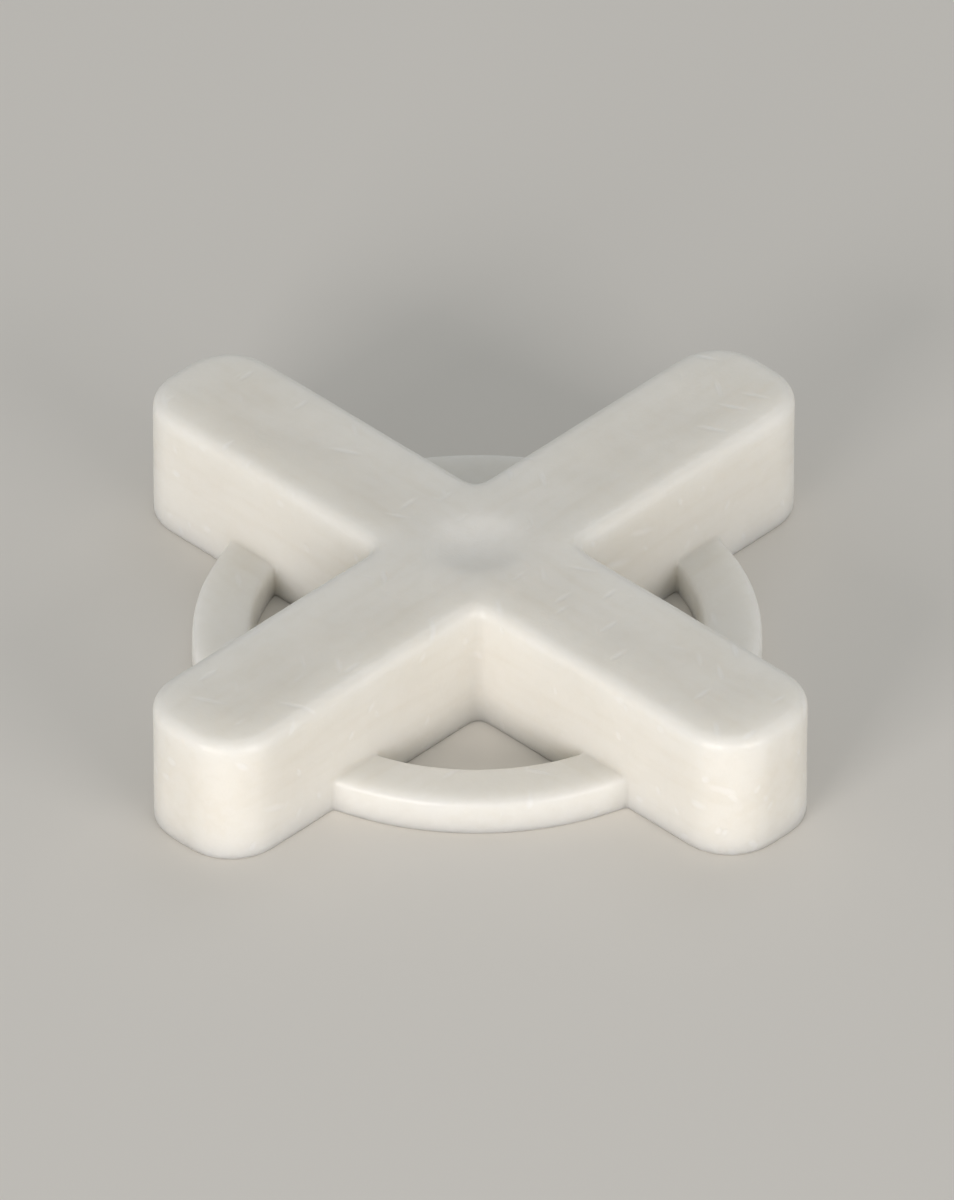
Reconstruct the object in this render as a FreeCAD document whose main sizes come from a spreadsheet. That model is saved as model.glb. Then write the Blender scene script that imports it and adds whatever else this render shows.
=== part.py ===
# A cross-shaped tile spacer moulded in one piece from polyethylene, in millimetres.
#
# Four equal arms point along X and Y, each as wide as the joint that it keeps between two tiles. A thin
# ring joins them on one face only, and their tips stand out past it. The spacer lies on that ring face,
# at z = 0, with its plain face up, and the origin is the middle of the ring face. The mould closes on the
# ring face, so the edges there are crisp. Those of the plain face and of the ring's top are rounded.

import FreeCAD, Part
import os

import Sketcher

# Driving sizes: name, value and meaning. Lengths are in millimetres.
SIZES = [
    ("joint_width", "4.0", "width of an arm, which is the gap that it keeps between two tiles"),
    ("arm_span", "23.5", "length over two opposite tips"),
    ("arm_depth", "4.0", "height of the arms from the ring face to the plain face"),
    ("arm_count", "4", "number of arms about the middle"),
    ("tip_flat", "0.8", "straight stretch across a tip, between its two rounded corners"),
    ("root_radius", "0.3", "fillet in the upright corner where two arms meet"),
    ("edge_radius", "0.3", "rounding of the arms' edges round the plain face"),
    ("ring_diameter", "16.0", "outer diameter of the ring"),
    ("ring_band", "1.7", "width of the ring, from its outer edge to its inner edge"),
    ("ring_thickness", "1.1", "height of the ring above the ring face"),
    ("ring_edge_radius", "0.2", "rounding of the two edges on the ring's top"),
    ("dimple_diameter", "2.6", "width of the dimple that the gate leaves in the middle of the plain face"),
    ("dimple_depth", "0.2", "depth of the dimple at its middle"),
]

SHEET = "Sizes"
NODE = "tile_spacer"
FULL_TURN = "360"
TOUCHING = 1e-6

# The points of a sketch line or arc, in the order in which constraints number them.
START, END, CENTRE = range(1, 4)

# The sketch's own origin, as constraints name it: its geometry and the point on it.
ORIGIN = (-1, START)


def make_sheet(document):
    """Writes the driving sizes into a sheet, one to a row, and gives each value its name."""
    sheet = document.addObject("Spreadsheet::Sheet", SHEET)
    for row, (alias, value, meaning) in enumerate(SIZES, start=1):
        sheet.set(f"A{row}", alias)
        sheet.set(f"B{row}", value)
        sheet.set(f"C{row}", meaning)
        sheet.setAlias(f"B{row}", alias)
    document.recompute()


def origin_feature(body, role):
    """Returns the axis or plane of the body's own origin that has the given role."""
    return next(feature for feature in body.Origin.OriginFeatures if feature.Role == role)


def new_sketch(body, name, plane):
    """Starts a sketch on one of the body's origin planes."""
    sketch = body.newObject("Sketcher::SketchObject", name)
    sketch.AttachmentSupport = [(origin_feature(body, plane), "")]
    sketch.MapMode = "FlatFace"
    return sketch


def new_feature(document, body, kind, name, links, expressions):
    """Adds a feature to the body, binds its sizes to the sheet and makes it the body's tip."""
    feature = body.newObject(f"PartDesign::{kind}", name)
    for setting, value in links.items():
        setattr(feature, setting, value)
    for setting, expression in expressions.items():
        feature.setExpression(setting, expression)
    body.Tip = feature
    document.recompute()
    return feature


def constrain(sketch, *constraint):
    """Adds a constraint to a sketch and returns its number."""
    return sketch.addConstraint(Sketcher.Constraint(*constraint))


def dimension(sketch, name, expression, *constraint):
    """Adds a dimension to a sketch, names it and binds it to the sheet."""
    number = constrain(sketch, *constraint)
    sketch.renameConstraint(number, name)
    sketch.setExpression(f"Constraints.{name}", expression)


def draw_box(sketch, left, right, bottom, top):
    """Draws a rectangle and returns its lower, right, upper and left side, joined end to start."""
    places = ((left, bottom), (right, bottom), (right, top), (left, top))
    corners = [FreeCAD.Vector(x, y, 0) for x, y in places]
    ends = corners[1:] + corners[:1]
    sides = [sketch.addGeometry(Part.LineSegment(start, end)) for start, end in zip(corners, ends)]
    for before, side in zip(sides[-1:] + sides, sides):
        constrain(sketch, "Coincident", before, END, side, START)
    for side, direction in zip(sides, ("Horizontal", "Vertical", "Horizontal", "Vertical")):
        constrain(sketch, direction, side)
    return sides


def round_corners(sketch, sides, radius):
    """Rounds the corner at the end of each given side, all to one radius, and returns the first arc."""
    arcs = []
    for side in sides:
        sketch.fillet(side, END, radius)
        arcs.append(sketch.GeometryCount - 1)
    for arc in arcs[1:]:
        constrain(sketch, "Equal", arcs[0], arc)
    return arcs[0]


def add_arms(document, body, size):
    """Pads one arm, from the middle out to its rounded tip, and repeats it about Z."""
    reach = size["arm_span"] / 2
    half_width = size["joint_width"] / 2
    plan = new_sketch(body, "arm_plan", "XY_Plane")
    lower, tip, upper, root = draw_box(plan, 0, reach, -half_width, half_width)
    round_corners(plan, (lower, tip), half_width - size["tip_flat"] / 2)
    constrain(plan, "Vertical", *ORIGIN, root, START)
    dimension(plan, "reach", f"{SHEET}.arm_span / 2",
              "DistanceX", *ORIGIN, tip, START, reach)
    dimension(plan, "half_width", f"{SHEET}.joint_width / 2",
              "DistanceY", *ORIGIN, root, START, half_width)
    dimension(plan, "width", f"{SHEET}.joint_width",
              "DistanceY", root, END, root, START, size["joint_width"])
    dimension(plan, "tip_flat", f"{SHEET}.tip_flat",
              "DistanceY", tip, START, tip, END, size["tip_flat"])
    arm = new_feature(document, body, "Pad", "arm", {"Profile": plan}, {"Length": f"{SHEET}.arm_depth"})
    return new_feature(
        document, body, "PolarPattern", "arms",
        {"Originals": [arm], "Axis": (origin_feature(body, "Z_Axis"), [""]), "Refine": True},
        {"Angle": FULL_TURN, "Occurrences": f"{SHEET}.arm_count"})


def root_edges(shape):
    """Names the upright edges nearest to the Z axis, which are the corners where two arms meet."""
    distance = {}
    for number, edge in enumerate(shape.Edges, start=1):
        box = edge.BoundBox
        if max(box.XLength, box.YLength) < TOUCHING:
            distance[f"Edge{number}"] = FreeCAD.Vector(box.Center.x, box.Center.y, 0).Length
    nearest = min(distance.values())
    return [name for name, length in distance.items() if length < nearest + TOUCHING]


def plain_face_edges(shape):
    """Names the edges round the top face of the cross."""
    top = shape.BoundBox.ZMax
    return [f"Edge{number}" for number, edge in enumerate(shape.Edges, start=1)
            if edge.BoundBox.ZMin > top - TOUCHING]


def round_cross(document, body, arms):
    """Fills the upright corners between the arms, then rounds the cross all round its plain face."""
    filled = new_feature(document, body, "Fillet", "arm_roots",
                         {"Base": (arms, root_edges(arms.Shape))}, {"Radius": f"{SHEET}.root_radius"})
    return new_feature(document, body, "Fillet", "plain_face_rounding",
                       {"Base": (filled, plain_face_edges(filled.Shape))},
                       {"Radius": f"{SHEET}.edge_radius"})


def add_ring(document, body, size):
    """Turns the ring's section about Z, flush with the arms on the ring face."""
    outer = size["ring_diameter"] / 2
    band = size["ring_band"]
    thickness = size["ring_thickness"]
    section = new_sketch(body, "ring_section", "XZ_Plane")
    under, outside, top, inside = draw_box(section, outer - band, outer, 0, thickness)
    arc = round_corners(section, (outside, top), size["ring_edge_radius"])
    constrain(section, "Horizontal", *ORIGIN, under, START)
    dimension(section, "radius", f"{SHEET}.ring_diameter / 2",
              "DistanceX", *ORIGIN, under, END, outer)
    dimension(section, "band", f"{SHEET}.ring_band",
              "DistanceX", under, START, under, END, band)
    dimension(section, "thickness", f"{SHEET}.ring_thickness",
              "DistanceY", under, END, top, START, thickness)
    dimension(section, "edge_radius", f"{SHEET}.ring_edge_radius",
              "Radius", arc, size["ring_edge_radius"])
    return new_feature(document, body, "Revolution", "ring",
                       {"Profile": section, "ReferenceAxis": (section, ["V_Axis"]), "Refine": True},
                       {"Angle": FULL_TURN})


def cut_dimple(document, body, size):
    """Turns a shallow cap of a ball out of the middle of the plain face."""
    half_width = size["dimple_diameter"] / 2
    depth = size["dimple_depth"]
    ball_radius = (half_width ** 2 + depth ** 2) / (2 * depth)
    middle = FreeCAD.Vector(0, size["arm_depth"], 0)
    rim = middle + FreeCAD.Vector(half_width, 0, 0)
    lowest = middle - FreeCAD.Vector(0, depth, 0)
    ball_centre = lowest + FreeCAD.Vector(0, ball_radius, 0)
    halfway = ball_centre + (lowest + rim - ball_centre * 2).normalize() * ball_radius

    section = new_sketch(body, "dimple_section", "XZ_Plane")
    bowl = section.addGeometry(Part.Arc(lowest, halfway, rim))
    lid = section.addGeometry(Part.LineSegment(rim, middle))
    core = section.addGeometry(Part.LineSegment(middle, lowest))
    for before, after in ((bowl, lid), (lid, core), (core, bowl)):
        constrain(section, "Coincident", before, END, after, START)
    constrain(section, "Horizontal", lid)
    for line, point in ((core, START), (core, END), (bowl, CENTRE)):
        constrain(section, "Vertical", *ORIGIN, line, point)
    dimension(section, "face_height", f"{SHEET}.arm_depth",
              "DistanceY", *ORIGIN, core, START, middle.y)
    dimension(section, "half_width", f"{SHEET}.dimple_diameter / 2",
              "DistanceX", core, START, lid, START, half_width)
    dimension(section, "depth", f"{SHEET}.dimple_depth",
              "DistanceY", core, END, core, START, depth)
    return new_feature(document, body, "Groove", "dimple",
                       {"Profile": section, "ReferenceAxis": (section, ["V_Axis"])}, {"Angle": FULL_TURN})


def check_model(document, body):
    """Stops when a feature has failed, a sketch is loose or the finished body isn't one sound solid."""
    for item in document.Objects:
        if "Invalid" in item.State or "Error" in item.State:
            raise RuntimeError(f"{item.Name} failed: {item.State}")
        if item.isDerivedFrom("Sketcher::SketchObject") and not item.FullyConstrained:
            raise RuntimeError(f"{item.Name} isn't fully constrained")
    shape = body.Shape
    if shape.isNull() or not shape.isValid() or len(shape.Solids) != 1:
        raise RuntimeError(f"{body.Label} isn't one valid solid")


def check_change(before, after, sign):
    """Stops when a feature that should add (1) or remove (-1) material did nothing or the opposite."""
    if (after.Shape.Volume - before.Shape.Volume) * sign <= 0:
        raise RuntimeError(f"{after.Name} changed the volume the wrong way")


def main():
    document = FreeCAD.newDocument("TileSpacer")
    make_sheet(document)
    size = {alias: float(value) for alias, value, meaning in SIZES}
    body = document.addObject("PartDesign::Body", NODE)
    body.Label = NODE
    body.Placement = FreeCAD.Placement()

    arms = add_arms(document, body, size)
    cross = round_cross(document, body, arms)
    ring = add_ring(document, body, size)
    dimple = cut_dimple(document, body, size)

    check_model(document, body)
    check_change(arms, cross, -1)
    check_change(cross, ring, 1)
    check_change(ring, dimple, -1)
    os.makedirs("parts", exist_ok=True)
    body.Shape.exportStep(f"parts/{body.Label}.step")
    box = body.Shape.optimalBoundingBox(False)
    print(f"{body.Label}: {box.XLength:.2f} x {box.YLength:.2f} x {box.ZLength:.2f} mm, "
          f"{body.Shape.Volume:.1f} mm3, {len(body.Shape.Faces)} faces")


main()
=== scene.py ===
"""A milky plastic tile spacer: four equal arms, joined by a thin ring on one face."""
import logging
import math
from dataclasses import dataclass
from enum import Enum

import bmesh
import bpy
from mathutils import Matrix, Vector, noise


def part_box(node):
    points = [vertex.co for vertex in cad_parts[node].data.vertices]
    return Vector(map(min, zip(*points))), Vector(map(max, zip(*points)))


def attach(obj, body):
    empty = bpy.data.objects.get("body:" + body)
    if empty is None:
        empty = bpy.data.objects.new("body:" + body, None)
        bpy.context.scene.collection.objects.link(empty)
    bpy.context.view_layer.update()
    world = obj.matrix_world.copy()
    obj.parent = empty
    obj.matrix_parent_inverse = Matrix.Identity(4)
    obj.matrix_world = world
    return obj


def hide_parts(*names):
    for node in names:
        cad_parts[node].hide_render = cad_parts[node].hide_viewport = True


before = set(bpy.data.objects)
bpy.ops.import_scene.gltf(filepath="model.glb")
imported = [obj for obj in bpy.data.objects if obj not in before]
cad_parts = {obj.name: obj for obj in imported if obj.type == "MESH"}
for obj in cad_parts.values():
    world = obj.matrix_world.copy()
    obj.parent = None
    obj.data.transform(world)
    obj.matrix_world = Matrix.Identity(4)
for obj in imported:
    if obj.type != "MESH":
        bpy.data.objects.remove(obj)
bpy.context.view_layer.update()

LOG = logging.getLogger("tile_spacer")
MM = 0.001
NODE = "tile_spacer"
BODY = "root"
X_AXIS = Vector((1.0, 0.0, 0.0))
Y_AXIS = Vector((0.0, 1.0, 0.0))
Z_AXIS = Vector((0.0, 0.0, 1.0))

# The plan is made of this many equal parts.
QUARTERS = 4
# Places that lie nearer together than this are the same place.
NEAR = 1e-3 * MM
# A face is upright where its normal rises by less than this.
UPRIGHT = 0.5
# How far the middle of a quarter round lies in from both sides of its corner, for a radius of 1.
CORNER_PULL = 1 - math.sqrt(0.5)

Mesh = bmesh.types.BMesh
Point = bmesh.types.BMVert
Edge = bmesh.types.BMEdge
Face = bmesh.types.BMFace
Socket = bpy.types.NodeSocket
Range = tuple[float, float]
Triple = tuple[float, float, float]
RGB = tuple[float, float, float]
RGBA = tuple[float, float, float, float]


class Side(Enum):
    """The two flat faces of the spacer."""

    RING_FACE = "ring face"
    PLAIN_FACE = "plain face"


@dataclass(frozen=True)
class CrossSizes:
    """Sizes of the four arms, in metres.

    Args:
        reach: distance from the middle to a tip.
        depth: height of the arms.
        width: width of an arm.
        tip_flat: straight stretch across a tip, between its rounded corners.
        root_radius: fillet in the upright corner between two arms.
        edge_radius: rounding round the plain face.
        crisp_radius: what the mould's parting leaves on the edges of the ring face.
        sink: how far the arms' flat sides are drawn in where the plastic cooled last.
        unevenness: how far the skin lies in at most, where it is uneven.
        wave: length of that unevenness.
        cells: cells across half an arm.
    """

    reach: float
    depth: float
    width: float = 4.0 * MM
    tip_flat: float = 0.8 * MM
    root_radius: float = 0.3 * MM
    edge_radius: float = 0.3 * MM
    crisp_radius: float = 0.05 * MM
    sink: float = 0.04 * MM
    unevenness: float = 0.03 * MM
    wave: float = 1.6 * MM
    cells: int = 5

    @property
    def half(self) -> float:
        """Half the width of an arm."""
        return self.width / 2

    @property
    def tip_radius(self) -> float:
        """Radius of a tip's two corners, seen from above."""
        return (self.width - self.tip_flat) / 2

    @property
    def tip_start(self) -> float:
        """Distance from the middle at which an arm's sides begin to round into its tip."""
        return self.reach - self.tip_radius


@dataclass(frozen=True)
class RingSizes:
    """Sizes of the ring, in metres.

    Args:
        outer: outer radius.
        band: width from the outer edge to the inner edge.
        thickness: height above the ring face.
        edge_radius: rounding of the two edges on its top.
        foot: width of the small hollow fillet where the ring meets an arm.
        band_cells: cells across the flat of the band.
        steps: cells along the ring, from one arm to the next.
    """

    outer: float = 8.0 * MM
    band: float = 1.7 * MM
    thickness: float = 1.1 * MM
    edge_radius: float = 0.2 * MM
    foot: float = 0.12 * MM
    band_cells: int = 3
    steps: int = 14

    def radii(self) -> list[float]:
        """Works out the radii of the lines that run along the ring.

        Returns:
            The radii, from the ring's inner to its outer edge.
        """
        inner = self.outer - self.band
        low = inner + self.edge_radius
        high = self.outer - self.edge_radius
        return [inner, low, *spread(low, high, (high - low) / self.band_cells), self.outer]


@dataclass(frozen=True)
class DimpleSizes:
    """Sizes of the shallow dimple in the middle of the plain face.

    Args:
        radius: radius of its rim, in metres.
        depth: depth at its middle, in metres.
        cells: cells from its middle to its rim.
    """

    radius: float = 1.3 * MM
    depth: float = 0.2 * MM
    cells: int = 3


def spread(start: float, end: float, cell: float) -> list[float]:
    """Divides a stretch evenly.

    Args:
        start: where the stretch begins.
        end: where it ends.
        cell: longest cell allowed.

    Returns:
        The end of each cell, with the end of the stretch last.
    """
    count = max(1, math.ceil((end - start - NEAR) / cell))
    return [start + (end - start) * step / count for step in range(1, count + 1)]


def round_net(along: float, across: float) -> tuple[float, float]:
    """Turns a quarter of a square net into a quarter of a round one.

    Args:
        along: distance from the net's middle along one side.
        across: distance along the other side.

    Returns:
        The same point on the circle through the square that it lay on.
    """
    radius = max(along, across)
    if radius < NEAR:
        return along, across
    turn = math.pi / 4 * min(along, across) / radius
    if across > along:
        turn = math.pi / 2 - turn
    return radius * math.cos(turn), radius * math.sin(turn)


def pick(items: list[object], kind: type) -> list:
    """Picks the items of one kind."""
    return [item for item in items if isinstance(item, kind)]


def opaque(colour: RGB) -> RGBA:
    """Adds full opacity to a colour."""
    return (*colour, 1.0)


@dataclass
class TileSpacer:
    """The moulded spacer, as one closed mesh.

    A quarter of its plan is drawn as a flat net of four-sided cells and turned round to the whole. The plan
    is then raised to the ring's top everywhere, and on to the plain face over the cross alone, so that arms
    and ring are one body from the start.

    Args:
        cross: sizes of the arms.
        ring: sizes of the ring.
        dimple: sizes of the dimple.
        cell: longest cell along an arm, in metres.
        smoothing: how often the finished net is divided and smoothed.
    """

    cross: CrossSizes
    ring: RingSizes = RingSizes()
    dimple: DimpleSizes = DimpleSizes()
    cell: float = 0.6 * MM
    smoothing: int = 2

    def crossings(self) -> list[float]:
        """Distances from the middle at which the ring's lines cross the side of an arm."""
        return [math.sqrt(radius ** 2 - self.cross.half ** 2) for radius in self.ring.radii()]

    def columns(self) -> list[float]:
        """Works out where the lines across an arm lie.

        Returns:
            Their distances from the middle, from the arm's root to its tip.
        """
        root = self.cross.half + self.cross.root_radius
        crossings = self.crossings()
        before = crossings[0] - self.ring.foot
        after = crossings[-1] + self.ring.foot
        return [root, *spread(root, before, self.cell), *crossings, after,
                *spread(after, self.cross.tip_start, self.cell),
                *spread(self.cross.tip_start, self.cross.reach, self.cross.half / self.cross.cells)]

    def draw_quarter(self, mesh: Mesh) -> None:
        """Draws a quarter of the cross: a quarter of its middle, run out into half of two arms.

        Args:
            mesh: the empty mesh that it is drawn in.
        """
        half = self.cross.half
        bmesh.ops.create_grid(mesh, x_segments=self.cross.cells, y_segments=self.cross.cells, size=half / 2)
        bmesh.ops.translate(mesh, verts=mesh.verts[:], vec=(half / 2, half / 2, 0.0))
        for outward in (X_AXIS, Y_AXIS):
            edges = [edge for edge in mesh.edges
                     if all(abs(point.co.dot(outward) - half) < NEAR and max(point.co) < half + NEAR
                            for point in edge.verts)]
            reached = half
            for column in self.columns():
                made = bmesh.ops.extrude_edge_only(mesh, edges=edges)["geom"]
                edges = pick(made, Edge)
                bmesh.ops.translate(mesh, verts=pick(made, Point), vec=outward * (column - reached))
                reached = column

    def draw_ring(self, mesh: Mesh) -> None:
        """Draws a quarter of the ring, as a straight strip between the two arms that is then bent.

        Args:
            mesh: the mesh, with a quarter of the cross.
        """
        crossings = self.crossings()
        ends = [edge for edge in mesh.edges
                if all(abs(min(point.co.xy) - self.cross.half) < NEAR
                       and crossings[0] - NEAR < max(point.co.xy) < crossings[-1] + NEAR
                       for point in edge.verts)]
        strip = bmesh.ops.bridge_loops(mesh, edges=ends)
        geometry = strip["faces"] + strip["edges"]
        foot = self.cross.half + self.ring.foot
        for normal in (X_AXIS, Y_AXIS):
            cut = bmesh.ops.bisect_plane(mesh, geom=geometry, dist=NEAR, plane_co=normal * foot,
                                         plane_no=normal)
            geometry = cut["geom"]
        lengths = [edge for edge in pick(geometry, Edge)
                   if min(abs(point.co.y - foot) for point in edge.verts) < NEAR
                   and min(abs(point.co.x - foot) for point in edge.verts) < NEAR]
        bmesh.ops.subdivide_edges(mesh, edges=lengths, cuts=self.ring.steps - 1, use_grid_fill=True)
        for point in mesh.verts:
            if min(point.co.xy) > self.cross.half + NEAR:
                point.co = self.bend(point.co)

    def bend(self, place: Vector) -> Vector:
        """Moves a point from the ring's straight strip on to its circle.

        Args:
            place: a point on a straight line from one arm to the other.

        Returns:
            The point as far along its arc as it was along the line.
        """
        half = self.cross.half
        crossing = place.x + place.y - half
        start = math.atan2(half, crossing)
        share = (place.y - half) / (crossing - half)
        angle = start + share * (math.pi / 2 - 2 * start)
        radius = math.hypot(crossing, half)
        return Vector((radius * math.cos(angle), radius * math.sin(angle), 0.0))

    def round_plan(self, mesh: Mesh) -> None:
        """Rounds the dimple's rim, the corner between the arms and the corners of the tips.

        Args:
            mesh: the flat mesh, with a quarter of the plan.
        """
        half = self.cross.half
        flat = self.cross.tip_flat / 2
        start = self.cross.tip_start
        pull = self.cross.root_radius * CORNER_PULL
        for point in mesh.verts:
            x, y = point.co.xy
            if abs(x - half) < NEAR and abs(y - half) < NEAR:
                point.co += Vector((pull, pull, 0.0))
            elif max(x, y) < half - NEAR:
                point.co = self.round_middle(x, y)
            elif x > start and y > flat:
                along, across = round_net(x - start, y - flat)
                point.co = Vector((start + along, flat + across, 0.0))
            elif y > start and x > flat:
                across, along = round_net(x - flat, y - start)
                point.co = Vector((flat + across, start + along, 0.0))

    def round_middle(self, x: float, y: float) -> Vector:
        """Moves a point of the middle square so that its net is round about the dimple.

        Args:
            x: distance of the point from the middle along X.
            y: distance along Y.

        Returns:
            Its place: on a circle inside the dimple's rim, and between circle and square outside it.
        """
        half = self.cross.half
        rim = half * self.dimple.cells / self.cross.cells
        reach = max(x, y)
        if reach < NEAR:
            return Vector((x, y, 0.0))
        inner = Vector((*round_net(x / reach, y / reach), 0.0)) * self.dimple.radius
        if reach < rim + NEAR:
            return inner * (reach / rim)
        outer = Vector((x, y, 0.0)) * (half / reach)
        return inner.lerp(outer, (reach - rim) / (half - rim))

    def turn_round(self, mesh: Mesh) -> None:
        """Turns copies of the quarter round the middle to the whole plan, and joins them.

        Args:
            mesh: the flat mesh, with a quarter of the plan.
        """
        turns = QUARTERS - 1
        bmesh.ops.spin(mesh, geom=mesh.verts[:] + mesh.edges[:] + mesh.faces[:], cent=(0.0, 0.0, 0.0),
                       axis=Z_AXIS, angle=math.tau * turns / QUARTERS, steps=turns, use_duplicate=True)
        bmesh.ops.remove_doubles(mesh, verts=mesh.verts[:], dist=NEAR)

    def raise_plan(self, mesh: Mesh) -> None:
        """Raises the plan to the ring's top, and the cross on to the plain face.

        Args:
            mesh: the flat mesh, with the whole plan.
        """
        wall = self.ring.thickness - self.ring.edge_radius
        above = self.ring.thickness + self.ring.foot
        below = self.cross.depth - self.cross.edge_radius - self.ring.foot
        lower = [*spread(0.0, wall, self.cell), self.ring.thickness]
        upper = [above, *spread(above, below, self.cell), self.cross.depth]
        faces = self.raise_faces(mesh, mesh.faces[:], 0.0, lower)
        over_cross = [face for face in faces if min(map(abs, face.calc_center_median().xy)) < self.cross.half]
        self.raise_faces(mesh, over_cross, self.ring.thickness, upper)

    def raise_faces(self, mesh: Mesh, faces: list[Face], start: float, steps: list[float]) -> list[Face]:
        """Raises faces step by step and walls them round.

        Faces at height 0 also stay there, as the ring face.

        Args:
            mesh: the mesh that holds them.
            faces: the faces.
            start: the height that they are at.
            steps: the heights that they are raised to, one after the other.

        Returns:
            The faces at the last height.
        """
        for step in steps:
            made = bmesh.ops.extrude_face_region(mesh, geom=faces)["geom"]
            if start > 0.0:
                bmesh.ops.delete(mesh, geom=faces, context="FACES")
            faces = pick(made, Face)
            bmesh.ops.translate(mesh, verts=pick(made, Point), vec=Z_AXIS * (step - start))
            start = step
        return faces

    def round_ring(self, mesh: Mesh) -> None:
        """Rounds the ring's two upper edges, by drawing each edge in to the middle of its arc.

        Args:
            mesh: the raised mesh.
        """
        radii = self.ring.radii()
        middle = (radii[0] + radii[-1]) / 2
        pull = self.ring.edge_radius * CORNER_PULL
        for point in mesh.verts:
            on_arm = min(map(abs, point.co.xy)) < self.cross.half + NEAR
            radius = point.co.xy.length
            at_edge = min(abs(radius - radii[0]), abs(radius - radii[-1])) < NEAR
            if not at_edge or abs(point.co.z - self.ring.thickness) > NEAR:
                continue
            drawn = radius + math.copysign(pull, middle - radius)
            if on_arm:
                self.slide_along_arm(point, drawn)
            else:
                point.co.xy = point.co.xy * (drawn / radius)
            point.co.z -= pull

    def slide_along_arm(self, point: Point, radius: float) -> None:
        """Moves a point along the side of its arm.

        Args:
            point: the point.
            radius: the distance from the middle that it comes to.
        """
        along = math.sqrt(radius ** 2 - self.cross.half ** 2)
        axis = 0 if abs(point.co.x) > abs(point.co.y) else 1
        point.co[axis] = math.copysign(along, point.co[axis])

    def round_rim(self, mesh: Mesh, side: Side, radius: float, segments: int) -> None:
        """Rounds the edges all round one of the flat faces.

        Args:
            mesh: the raised mesh.
            side: which flat face.
            radius: radius of the rounding.
            segments: cells across the rounding.
        """
        height = self.cross.depth if side is Side.PLAIN_FACE else 0.0
        mesh.normal_update()
        rim = [edge for edge in mesh.edges
               if all(abs(point.co.z - height) < NEAR for point in edge.verts)
               and min(abs(face.normal.z) for face in edge.link_faces) < UPRIGHT]
        bmesh.ops.bevel(mesh, geom=rim, affect="EDGES", offset=radius, offset_type="OFFSET",
                        segments=segments, profile=0.5, material=-1, clamp_overlap=False)

    def draw_in(self, mesh: Mesh) -> None:
        """Draws the flat sides of the arms in a little, as plastic does where it cools last.

        Args:
            mesh: the raised mesh, with its edges rounded.
        """
        cross = self.cross
        for point in mesh.verts:
            along = max(map(abs, point.co.xy))
            across = min(map(abs, point.co.xy))
            if along < cross.half + cross.root_radius or along > cross.tip_start:
                continue
            span = (along - cross.half) / (cross.tip_start - cross.half)
            depth = cross.sink * math.sin(math.pi * span) ** 0.5
            if point.co.z > cross.depth - NEAR:
                point.co.z -= depth * math.cos(math.pi / 2 * across / cross.half) ** 2
            elif abs(across - cross.half) < NEAR and point.co.z > self.ring.thickness + self.ring.foot - NEAR:
                rise = (point.co.z - self.ring.thickness) / (cross.depth - self.ring.thickness)
                axis = 1 if abs(point.co.x) > abs(point.co.y) else 0
                point.co[axis] -= math.copysign(depth * math.sin(math.pi * rise), point.co[axis])

    def press_dimple(self, mesh: Mesh) -> None:
        """Presses the shallow bowl into the middle of the plain face.

        Args:
            mesh: the raised mesh.
        """
        for point in mesh.verts:
            share = point.co.xy.length / self.dimple.radius
            if share < 1 and abs(point.co.z - self.cross.depth) < NEAR:
                point.co.z -= self.dimple.depth * (1 - share ** 2)

    def wear(self, mesh: Mesh) -> None:
        """Draws the skin in a little unevenly, which breaks the shine along the edges. The ring face stays.

        Args:
            mesh: the finished mesh, with its faces outward.
        """
        mesh.normal_update()
        for point in mesh.verts:
            if point.co.z > self.cross.crisp_radius + NEAR:
                share = noise.noise(point.co / self.cross.wave) / 2 + 0.5
                point.co -= point.normal * (self.cross.unevenness * min(max(share, 0.0), 1.0))

    def mould(self) -> Mesh:
        """Moulds the spacer's mesh from its sizes.

        Returns:
            The closed mesh, with its faces outward.
        """
        mesh = bmesh.new()
        self.draw_quarter(mesh)
        self.draw_ring(mesh)
        self.round_plan(mesh)
        self.turn_round(mesh)
        self.raise_plan(mesh)
        self.round_ring(mesh)
        bmesh.ops.recalc_face_normals(mesh, faces=mesh.faces[:])
        self.round_rim(mesh, Side.PLAIN_FACE, self.cross.edge_radius, segments=2)
        self.round_rim(mesh, Side.RING_FACE, self.cross.crisp_radius, segments=1)
        self.draw_in(mesh)
        self.press_dimple(mesh)
        bmesh.ops.recalc_face_normals(mesh, faces=mesh.faces[:])
        self.wear(mesh)
        for face in mesh.faces:
            face.smooth = True
        return mesh

    def build(self, finish: "MilkyPlastic") -> bpy.types.Object:
        """Builds the spacer, dresses it and puts it in the place of its node.

        Args:
            finish: what it is moulded from.

        Returns:
            The finished piece.
        """
        mesh = self.mould()
        data = bpy.data.meshes.new("spacer")
        mesh.to_mesh(data)
        mesh.free()
        piece = bpy.data.objects.new("spacer", data)
        bpy.context.scene.collection.objects.link(piece)
        subdivision = piece.modifiers.new("smoothing", "SUBSURF")
        subdivision.levels = self.smoothing
        subdivision.render_levels = self.smoothing
        data.materials.append(finish.build())
        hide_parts(NODE)
        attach(piece, BODY)
        return piece


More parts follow.
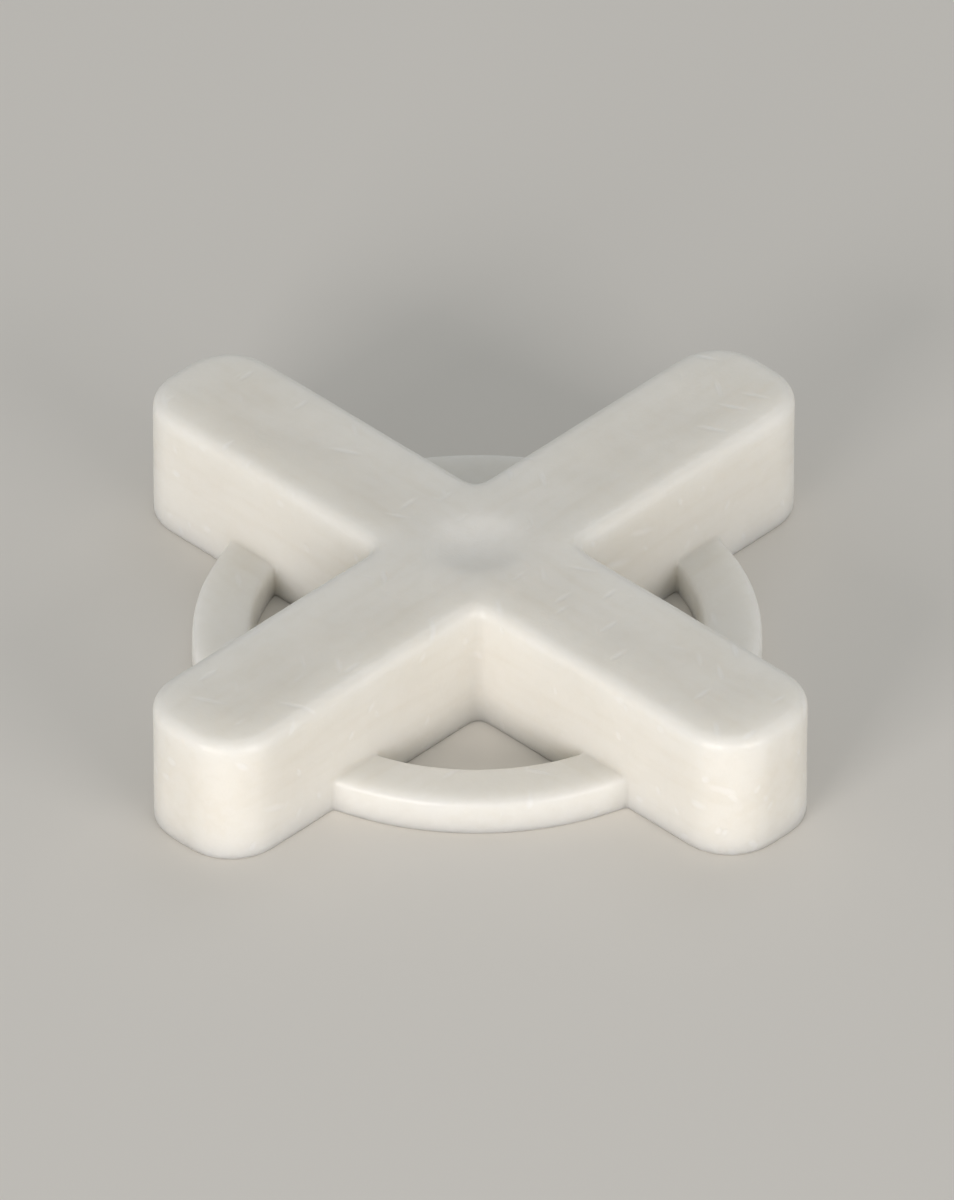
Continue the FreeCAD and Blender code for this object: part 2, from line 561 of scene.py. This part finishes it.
@dataclass
class NodeBench:
    """Adds and joins the nodes of one material.

    Args:
        material: the material.
    """

    material: bpy.types.Material

    def __post_init__(self) -> None:
        """Turns the material's nodes on."""
        self.material.use_nodes = True

    @property
    def shader(self) -> bpy.types.Node:
        """The material's own shader."""
        return self.material.node_tree.nodes["Principled BSDF"]

    def feed(self, node: bpy.types.Node, inputs: dict[str | int, object]) -> None:
        """Sets a node's inputs.

        Args:
            node: the node.
            inputs: the value of each input, or the output of another node that is linked to it.
        """
        for name, value in inputs.items():
            if isinstance(value, Socket):
                self.material.node_tree.links.new(value, node.inputs[name])
            else:
                node.inputs[name].default_value = value

    def add(self, kind: str, inputs: dict[str | int, object], **settings: object) -> bpy.types.NodeOutputs:
        """Adds a node.

        Args:
            kind: the node's type, without its first words.
            inputs: values or outputs for its inputs.
            **settings: its other settings.

        Returns:
            Its outputs.
        """
        node = self.material.node_tree.nodes.new(f"ShaderNode{kind}")
        for name, value in settings.items():
            setattr(node, name, value)
        self.feed(node, inputs)
        return node.outputs

    def combine(self, first: object, second: object, operation: str = "ADD") -> Socket:
        """Joins two numbers, by adding them unless another operation is named."""
        return self.add("Math", {0: first, 1: second}, operation=operation)["Value"]

    def blend(self, share: Socket, first: Socket | RGBA, second: Socket | RGBA) -> Socket:
        """Blends two colours: the first where the share is 0, the second where it is 1."""
        return self.add("Mix", {"Factor": share, "A": first, "B": second}, data_type="RGBA")["Result"]

    def noise(self, place: Socket, size: float, detail: float = 3.0) -> Socket:
        """Adds noise of a given grain size, in metres."""
        return self.add("TexNoise", {"Vector": place, "Scale": 1.0 / size, "Detail": detail})["Fac"]

    def remap(self, value: Socket, before: Range, after: Range) -> Socket:
        """Moves a number from one range smoothly to another."""
        return self.add("MapRange", {"Value": value, "From Min": before[0], "From Max": before[1],
                                     "To Min": after[0], "To Max": after[1]},
                        interpolation_type="SMOOTHSTEP")["Result"]


@dataclass(frozen=True)
class Mottling:
    """One pattern in which the plastic looks denser.

    Args:
        size: size of its marks, in metres.
        fades: the noise at which a mark begins, and the noise at which it is full.
        amount: share of the denser colour where it is full.
    """

    size: float
    fades: Range
    amount: float

    def shade(self, bench: NodeBench, place: Socket) -> Socket:
        """Lays the pattern out: 0 where it is absent, and its amount where it is full."""
        return bench.remap(bench.noise(place, self.size), self.fades, (0.0, self.amount))


@dataclass(frozen=True)
class Scuffs:
    """Short thin scuffs that handling leaves.

    Args:
        spacing: distance from one to the next, in metres.
        shape: their length, width and depth, compared with a round mark.
        turns: the ways in which they lie, each as turns about X, Y and Z, in radians.
        fades: how far from its middle a scuff begins to fade, and where it ends, in spacings.
        depth: their depth, in metres.
        whiteness: how far they are whitened, from 0 to 1.
        dullness: how much duller than the skin they are, in the scale of the plastic's sheen.
    """

    spacing: float = 1.1 * MM
    shape: Triple = (4.0, 0.6, 1.0)
    turns: tuple[Triple, ...] = ((0.3, 0.2, 0.5), (0.5, -0.3, 2.4), (-0.4, 0.35, 1.5))
    fades: Range = (0.05, 0.17)
    depth: float = 0.012 * MM
    whiteness: float = 0.5
    dullness: float = 0.3

    def scatter(self, bench: NodeBench, place: Socket) -> Socket:
        """Scatters the scuffs over the skin.

        Args:
            bench: the material's nodes.
            place: the point on the spacer.

        Returns:
            1 on a scuff and 0 elsewhere.
        """
        marks = []
        for turn in self.turns:
            turned = bench.add("Mapping", {"Vector": place, "Rotation": turn, "Scale": self.shape},
                               vector_type="TEXTURE")["Vector"]
            cell = bench.add("TexVoronoi", {"Vector": turned, "Scale": 1.0 / self.spacing}, feature="F1")
            marks.append(bench.remap(cell["Distance"], self.fades, (1.0, 0.0)))
        most = marks[0]
        for mark in marks[1:]:
            most = bench.combine(most, mark, "MAXIMUM")
        return most


@dataclass(frozen=True)
class MilkyPlastic:
    """Natural polyethylene: milky, satin and a little see-through.

    Args:
        colour: its colour in plain light.
        dense: the warmer colour where it is denser.
        scuff_white_and_painted_glow: the whiter colour of the scuffs, and of the painted light round the
            gate.
        milkiness: share of its light that has spread inside it, from 0 to 1.
        scatter: how far light spreads inside it, in metres.
        scatter_colour: how far red, green and blue spread, compared with that.
        refraction: its index of refraction.
        roughness: lowest and highest roughness of its skin.
        sheen_size: size of the patches in which its sheen changes, in metres.
        sheen_fades: the noise at which a patch is glossiest, and the noise at which it is dullest.
        clouds: its soft clouds.
        streaks: its streaks, which run from the gate along the arms.
        streak_length: how many times longer than wide the streaks are.
        specks: its fine specks.
        painted_glow_radius: how far the painted light round the gate reaches, in metres.
        painted_glow_strength: how far the painted light whitens the plastic at the gate, from 0 to 1.
        grain_size: size of the mould's fine grain, in metres.
        grain_depth: depth of that grain, in metres.
        wave_size: length of the soft waves in its skin, in metres.
        wave_depth: depth of those waves, in metres.
        scuffs: its scuffs.
    """

    colour: RGB = (0.80, 0.777, 0.725)
    dense: RGB = (0.735, 0.697, 0.62)
    # Whiter colour for the scuffs, and for the painted light round the gate.
    scuff_white_and_painted_glow: RGB = (0.83, 0.816, 0.785)
    milkiness: float = 0.85
    scatter: float = 2.0 * MM
    scatter_colour: RGB = (1.0, 0.965, 0.92)
    refraction: float = 1.51
    roughness: Range = (0.3, 0.5)
    sheen_size: float = 3.5 / 3 * MM
    sheen_fades: Range = (0.7, 1.3)
    clouds: Mottling = Mottling(3.5 * MM, fades=(0.35, 0.7), amount=0.3)
    streaks: Mottling = Mottling(0.5 * MM, fades=(0.45, 0.75), amount=0.3)
    streak_length: float = 7.0
    specks: Mottling = Mottling(0.35 * MM, fades=(0.4, 0.8), amount=0.15)
    # Painted light: a lighter spot round the gate, in the middle of the flat faces.
    painted_glow_radius: float = 2.6 * MM
    painted_glow_strength: float = 0.7
    grain_size: float = 0.11 * MM
    grain_depth: float = 0.007 * MM
    wave_size: float = 1.75 * MM
    wave_depth: float = 0.05 * MM
    scuffs: Scuffs = Scuffs()

    def flow(self, bench: NodeBench, place: Socket) -> Socket:
        """Lays coordinates along the plastic's flow, from the gate out into each arm.

        Args:
            bench: the material's nodes.
            place: the point on the spacer.

        Returns:
            Coordinates in which the flow's length is drawn together.
        """
        outward = bench.add("VectorMath", {0: place}, operation="ABSOLUTE")["Vector"]
        spacing = bench.add("SeparateXYZ", {"Vector": outward})
        along = bench.combine(spacing["X"], spacing["Y"], "MAXIMUM")
        across = bench.combine(spacing["X"], spacing["Y"], "MINIMUM")
        drawn = bench.combine(along, 1.0 / self.streak_length, "MULTIPLY")
        return bench.add("CombineXYZ", {"X": drawn, "Y": across, "Z": spacing["Z"]})["Vector"]

    def painted_glow(self, bench: NodeBench, place: Socket) -> Socket:
        """Paints light round the gate: a lighter spot in the middle of the flat faces.

        Args:
            bench: the material's nodes.
            place: the point on the spacer.

        Returns:
            How far the painted light whitens it: most at the gate, and 0 beyond its radius.
        """
        level = bench.add("VectorMath", {0: place, 1: (1.0, 1.0, 0.0)}, operation="MULTIPLY")["Vector"]
        distance = bench.add("VectorMath", {0: level}, operation="LENGTH")["Value"]
        return bench.remap(distance, (0.0, self.painted_glow_radius), (self.painted_glow_strength, 0.0))

    def colour_in(self, bench: NodeBench, place: Socket, marks: Socket) -> Socket:
        """Colours the plastic.

        Args:
            bench: the material's nodes.
            place: the point on the spacer.
            marks: 1 on a scuff and 0 elsewhere.

        Returns:
            Its colour: denser in clouds, streaks and specks, whitened on scuffs, and lighter round the gate
                with painted light.
        """
        clouds = self.clouds.shade(bench, place)
        streaks = self.streaks.shade(bench, self.flow(bench, place))
        density = bench.combine(bench.combine(clouds, streaks), self.specks.shade(bench, place))
        body = bench.blend(density, opaque(self.colour), opaque(self.dense))
        scuffed = bench.combine(marks, self.scuffs.whiteness, "MULTIPLY")
        # The scuffs' whitening, joined with the painted light round the gate.
        whitened = bench.combine(self.painted_glow(bench, place), scuffed, "MAXIMUM")
        return bench.blend(whitened, body, opaque(self.scuff_white_and_painted_glow))

    def dull(self, bench: NodeBench, place: Socket, marks: Socket) -> Socket:
        """Changes the skin's roughness from patch to patch and on scuffs.

        Args:
            bench: the material's nodes.
            place: the point on the spacer.
            marks: 1 on a scuff and 0 elsewhere.

        Returns:
            The roughness.
        """
        patches = bench.combine(bench.noise(place, self.sheen_size), bench.noise(place, self.specks.size))
        scuffed = bench.combine(marks, self.scuffs.dullness, "MULTIPLY")
        return bench.remap(bench.combine(patches, scuffed), self.sheen_fades, self.roughness)

    def relief(self, bench: NodeBench, place: Socket, marks: Socket) -> Socket:
        """Gives the skin soft waves, the mould's fine grain and scuffs.

        Args:
            bench: the material's nodes.
            place: the point on the spacer.
            marks: 1 on a scuff and 0 elsewhere.

        Returns:
            The normal of the skin.
        """
        layers = ((bench.noise(place, self.wave_size, detail=1.0), self.wave_depth),
                  (bench.noise(place, self.grain_size), self.grain_depth),
                  (marks, -self.scuffs.depth))
        below: dict[str, Socket] = {}
        for height, depth in layers:
            bump = bench.add("Bump", {"Height": height, "Distance": abs(depth), "Strength": 1.0, **below},
                             invert=depth < 0)
            below = {"Normal": bump["Normal"]}
        return below["Normal"]

    def build(self) -> bpy.types.Material:
        """Makes the material.

        Returns:
            The finished material.
        """
        bench = NodeBench(bpy.data.materials.new("polyethylene"))
        place = bench.add("TexCoord", {})["Object"]
        marks = self.scuffs.scatter(bench, place)
        bench.feed(bench.shader, {
            "Base Color": self.colour_in(bench, place, marks),
            "Roughness": self.dull(bench, place, marks),
            "Normal": self.relief(bench, place, marks),
            "IOR": self.refraction,
            "Subsurface Weight": self.milkiness,
            "Subsurface Scale": self.scatter,
            "Subsurface Radius": self.scatter_colour,
        })
        return bench.material


@dataclass(frozen=True)
class SoftLamp:
    """A soft studio lamp that looks at the spacer.

    Args:
        name: its name.
        azimuth: direction that it stands in, in degrees round from the camera.
        elevation: its height above the floor, in degrees.
        distance: its distance, in metres.
        size: length of its side, in metres.
        power: its power, in watts.
        colour: colour of its light.
    """

    name: str
    azimuth: float
    elevation: float
    distance: float
    size: float
    power: float
    colour: RGB = (1.0, 0.96, 0.94)


@dataclass
class Studio:
    """A plain pale floor under soft light, and the camera.

    Args:
        centre: the point that lamps and camera look at.
        floor_colour: colour of the floor.
        floor_roughness: roughness of the floor.
        floor_gloss: strength of its reflections, from 0 to 1.
        floor_side: length of its side, in metres.
        sky_colour: colour of the even light from all round.
        sky_strength: strength of that light.
        lamps: the lamps.
        azimuth: the camera's direction round the spacer, in degrees: 0 looks along +Y.
        elevation: its height above the horizon, in degrees.
        distance: its distance, in metres.
        view_height: height of what it sees at the spacer, in metres.
    """

    centre: Vector
    floor_colour: RGB = (0.735, 0.71, 0.67)
    floor_roughness: float = 0.9
    floor_gloss: float = 0.1
    floor_side: float = 2.0
    sky_colour: RGB = (0.96, 0.99, 0.99)
    sky_strength: float = 0.425
    lamps: tuple[SoftLamp, ...] = (
        SoftLamp("key", azimuth=-32.0, elevation=12.0, distance=0.5, size=0.22, power=1.48),
        SoftLamp("fill", azimuth=42.0, elevation=10.0, distance=0.5, size=0.3, power=1.16),
        SoftLamp("back", azimuth=160.0, elevation=55.0, distance=0.5, size=0.3, power=0.23),
    )
    azimuth: float = 44.25
    elevation: float = 38.0
    distance: float = 0.55
    view_height: float = 33.5 * MM

    @staticmethod
    def direction(azimuth: float, elevation: float) -> Vector:
        """Points from the centre in a direction.

        Args:
            azimuth: the direction round the spacer, in degrees.
            elevation: its height above the horizon, in degrees.

        Returns:
            A vector of length 1.
        """
        turn = math.radians(azimuth)
        rise = math.radians(elevation)
        flat = math.cos(rise)
        return Vector((math.sin(turn) * flat, -math.cos(turn) * flat, math.sin(rise)))

    def stand(self, item: bpy.types.Object, azimuth: float, elevation: float, distance: float) -> None:
        """Stands a lamp or the camera somewhere round the centre and turns it to look there.

        Args:
            item: the lamp or the camera.
            azimuth: its direction round the spacer, in degrees.
            elevation: its height above the horizon, in degrees.
            distance: its distance from the centre, in metres.
        """
        towards = self.direction(azimuth, elevation)
        item.location = self.centre + towards * distance
        item.rotation_euler = towards.to_track_quat("Z", "Y").to_euler()
        bpy.context.scene.collection.objects.link(item)

    def add_floor(self) -> None:
        """Lays the floor."""
        mesh = bmesh.new()
        bmesh.ops.create_grid(mesh, x_segments=1, y_segments=1, size=self.floor_side / 2)
        data = bpy.data.meshes.new("floor")
        mesh.to_mesh(data)
        mesh.free()
        bench = NodeBench(bpy.data.materials.new("floor"))
        bench.feed(bench.shader, {
            "Base Color": opaque(self.floor_colour),
            "Roughness": self.floor_roughness,
            "Specular IOR Level": self.floor_gloss,
        })
        data.materials.append(bench.material)
        floor = bpy.data.objects.new("floor", data)
        bpy.context.scene.collection.objects.link(floor)

    def add_lamps(self) -> None:
        """Sets up the sky and the lamps."""
        world = bpy.data.worlds.new("studio")
        world.use_nodes = True
        background = world.node_tree.nodes["Background"]
        background.inputs["Color"].default_value = opaque(self.sky_colour)
        background.inputs["Strength"].default_value = self.sky_strength
        bpy.context.scene.world = world
        for lamp in self.lamps:
            data = bpy.data.lights.new(lamp.name, "AREA")
            data.shape = "SQUARE"
            data.size = lamp.size
            data.energy = lamp.power
            data.color = lamp.colour
            light = bpy.data.objects.new(lamp.name, data)
            self.stand(light, self.azimuth + lamp.azimuth, lamp.elevation, lamp.distance)

    def add_camera(self) -> None:
        """Sets up the camera at the photograph's viewing angle."""
        data = bpy.data.cameras.new("camera")
        data.sensor_fit = "VERTICAL"
        data.lens = data.sensor_height * self.distance / self.view_height
        camera = bpy.data.objects.new("camera", data)
        self.stand(camera, self.azimuth, self.elevation, self.distance)
        bpy.context.scene.camera = camera

    def build(self) -> None:
        """Builds the studio."""
        self.add_floor()
        self.add_lamps()
        self.add_camera()
        bpy.context.scene.view_settings.view_transform = "Standard"


def main() -> None:
    """Builds the spacer and the studio round it."""
    logging.basicConfig(level=logging.INFO, format="%(name)s: %(message)s")
    low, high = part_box(NODE)
    spacer = TileSpacer(CrossSizes(reach=high.x, depth=high.z - low.z))
    piece = spacer.build(MilkyPlastic())
    LOG.info("%s: %d cells, smoothed %d times", piece.name, len(piece.data.polygons), spacer.smoothing)
    Studio(centre=(low + high) / 2).build()


if __name__ == "__main__":
    main()
